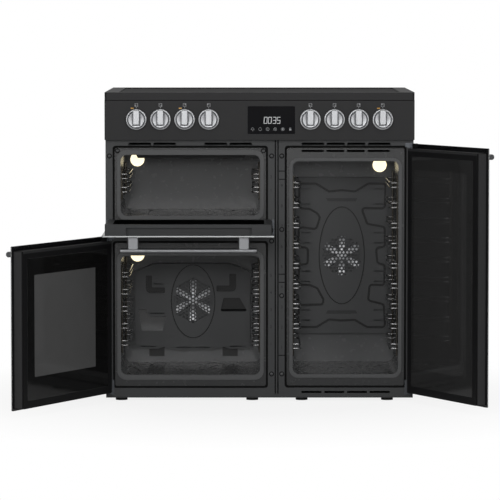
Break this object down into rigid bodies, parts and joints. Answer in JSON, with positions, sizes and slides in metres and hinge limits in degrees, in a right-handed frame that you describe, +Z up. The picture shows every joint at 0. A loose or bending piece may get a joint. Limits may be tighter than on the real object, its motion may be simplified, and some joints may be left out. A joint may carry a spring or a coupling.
{
  "type": "range cooker with double oven",
  "caption": "Freestanding range cooker with a glass hob, a knob panel, a drop-down grill oven over a side-opening main oven, and a tall oven beside them, with its doors open.",
  "frame": {"origin": "middle of the footprint of the object's bounding box with the doors open, on the floor", "axes": "+X to the right seen from the front, +Y from the front to the back, +Z up"},
  "size_m": [1.3806, 1.052, 0.904],
  "materials": {
    "painted_sheet": "satin",
    "front_frame_paint": "satin",
    "rubber": "matt",
    "oven_enamel": "gloss",
    "bright_steel": "brushed",
    "element_steel": "satin",
    "motor_steel": "satin",
    "lamp_glass": "gloss",
    "chromed_wire": "polished",
    "panel_paint": "satin",
    "hob_glass": "gloss",
    "black_plastic": "matt",
    "amber_lens": "gloss",
    "knob_metal": "satin",
    "door_frame_paint": "satin",
    "inner_glass": "gloss",
    "door_glass": "gloss",
    "brushed_handle": "brushed"
  },
  "bodies": {
    "body": {"base_tray": "painted_sheet", "levelling_feet": "rubber", "side_panel_left": "painted_sheet", "side_panel_right": "painted_sheet", "rear_panel": "painted_sheet", "terminal_box": "painted_sheet", "cable_grommet": "rubber", "front_frame_left": "front_frame_paint", "front_frame_right": "front_frame_paint", "centre_strip": "front_frame_paint", "grill_cavity": "oven_enamel", "main_cavity": "oven_enamel", "tall_cavity": "oven_enamel", "grill_seal": "rubber", "main_seal": "rubber", "tall_seal": "rubber", "main_fan_cover": "oven_enamel", "tall_fan_cover": "oven_enamel", "fan_elements": "element_steel", "fan_motors": "motor_steel", "grill_element": "element_steel", "grill_deflector": "oven_enamel", "lamp_lenses": "lamp_glass", "grill_racks": "chromed_wire", "main_racks": "chromed_wire", "tall_racks": "chromed_wire", "vent_fitting": "oven_enamel", "hob_frame": "panel_paint", "hob_glass": "hob_glass", "hob_elements": "motor_steel", "control_panel": "panel_paint", "display_window": "hob_glass", "timer_module": "black_plastic", "indicator_lenses": "amber_lens", "rotary_switches": "black_plastic", "hinge_brackets": "motor_steel"},
    "main_fan_wheel": {"main_fan": "bright_steel"},
    "tall_fan_wheel": {"tall_fan": "bright_steel"},
    "knob_1_body": {"knob_1": "knob_metal"},
    "knob_2_body": {"knob_2": "knob_metal"},
    "knob_3_body": {"knob_3": "knob_metal"},
    "knob_4_body": {"knob_4": "knob_metal"},
    "knob_5_body": {"knob_5": "knob_metal"},
    "knob_6_body": {"knob_6": "knob_metal"},
    "knob_7_body": {"knob_7": "knob_metal"},
    "knob_8_body": {"knob_8": "knob_metal"},
    "grill_door": {"grill_door_frame": "door_frame_paint", "grill_door_inner_glass": "inner_glass", "grill_door_outer_glass": "door_glass", "grill_door_handle": "brushed_handle"},
    "main_door": {"main_door_frame": "door_frame_paint", "main_door_inner_glass": "inner_glass", "main_door_outer_glass": "door_glass", "main_door_handle": "brushed_handle"},
    "tall_door": {"tall_door_frame": "door_frame_paint", "tall_door_inner_glass": "inner_glass", "tall_door_outer_glass": "door_glass", "tall_door_handle": "brushed_handle"}
  },
  "joints": [
    {"name": "main_door_hinge", "type": "hinge", "parent": "body", "child": "main_door", "pos_m": [-0.4182, -0.1005, 0.248], "axis": [0, 0, 1], "range_deg": [0, 118.5]},
    {"name": "grill_door_hinge", "type": "hinge", "parent": "body", "child": "grill_door", "pos_m": [-0.178, -0.113, 0.51], "axis": [-1, 0, 0], "range_deg": [0, 90]},
    {"name": "tall_door_hinge", "type": "hinge", "parent": "body", "child": "tall_door", "pos_m": [0.46819, -0.1005, 0.383], "axis": [0, 0, -1], "range_deg": [0, 118]},
    {"name": "main_fan_spin", "type": "hinge", "parent": "body", "child": "main_fan_wheel", "pos_m": [-0.1753, 0.295, 0.264], "axis": [0, -1, 0], "continuous": true},
    {"name": "tall_fan_spin", "type": "hinge", "parent": "body", "child": "tall_fan_wheel", "pos_m": [0.27549, 0.301, 0.40025], "axis": [0, -1, 0], "continuous": true},
    {"name": "knob_1_turn", "type": "hinge", "parent": "body", "child": "knob_1_body", "pos_m": [-0.3325, -0.1216, 0.8255], "axis": [0, 1, 0], "range_deg": [0, 270]},
    {"name": "knob_2_turn", "type": "hinge", "parent": "body", "child": "knob_2_body", "pos_m": [-0.2625, -0.1216, 0.8255], "axis": [0, 1, 0], "range_deg": [0, 270]},
    {"name": "knob_3_turn", "type": "hinge", "parent": "body", "child": "knob_3_body", "pos_m": [-0.19251, -0.1216, 0.8255], "axis": [0, 1, 0], "range_deg": [0, 270]},
    {"name": "knob_4_turn", "type": "hinge", "parent": "body", "child": "knob_4_body", "pos_m": [-0.12251, -0.1216, 0.8255], "axis": [0, 1, 0], "range_deg": [0, 270]},
    {"name": "knob_5_turn", "type": "hinge", "parent": "body", "child": "knob_5_body", "pos_m": [0.1725, -0.1216, 0.8255], "axis": [0, 1, 0], "range_deg": [0, 270]},
    {"name": "knob_6_turn", "type": "hinge", "parent": "body", "child": "knob_6_body", "pos_m": [0.24249, -0.1216, 0.8255], "axis": [0, 1, 0], "range_deg": [0, 270]},
    {"name": "knob_7_turn", "type": "hinge", "parent": "body", "child": "knob_7_body", "pos_m": [0.3125, -0.1216, 0.8255], "axis": [0, 1, 0], "range_deg": [0, 270]},
    {"name": "knob_8_turn", "type": "hinge", "parent": "body", "child": "knob_8_body", "pos_m": [0.38249, -0.1216, 0.8255], "axis": [0, 1, 0], "range_deg": [0, 270]}
  ],
  "couplings": [
    {"joint": "grill_door_hinge", "follows": "main_door_hinge", "ratio": 0.75949}
  ]
}
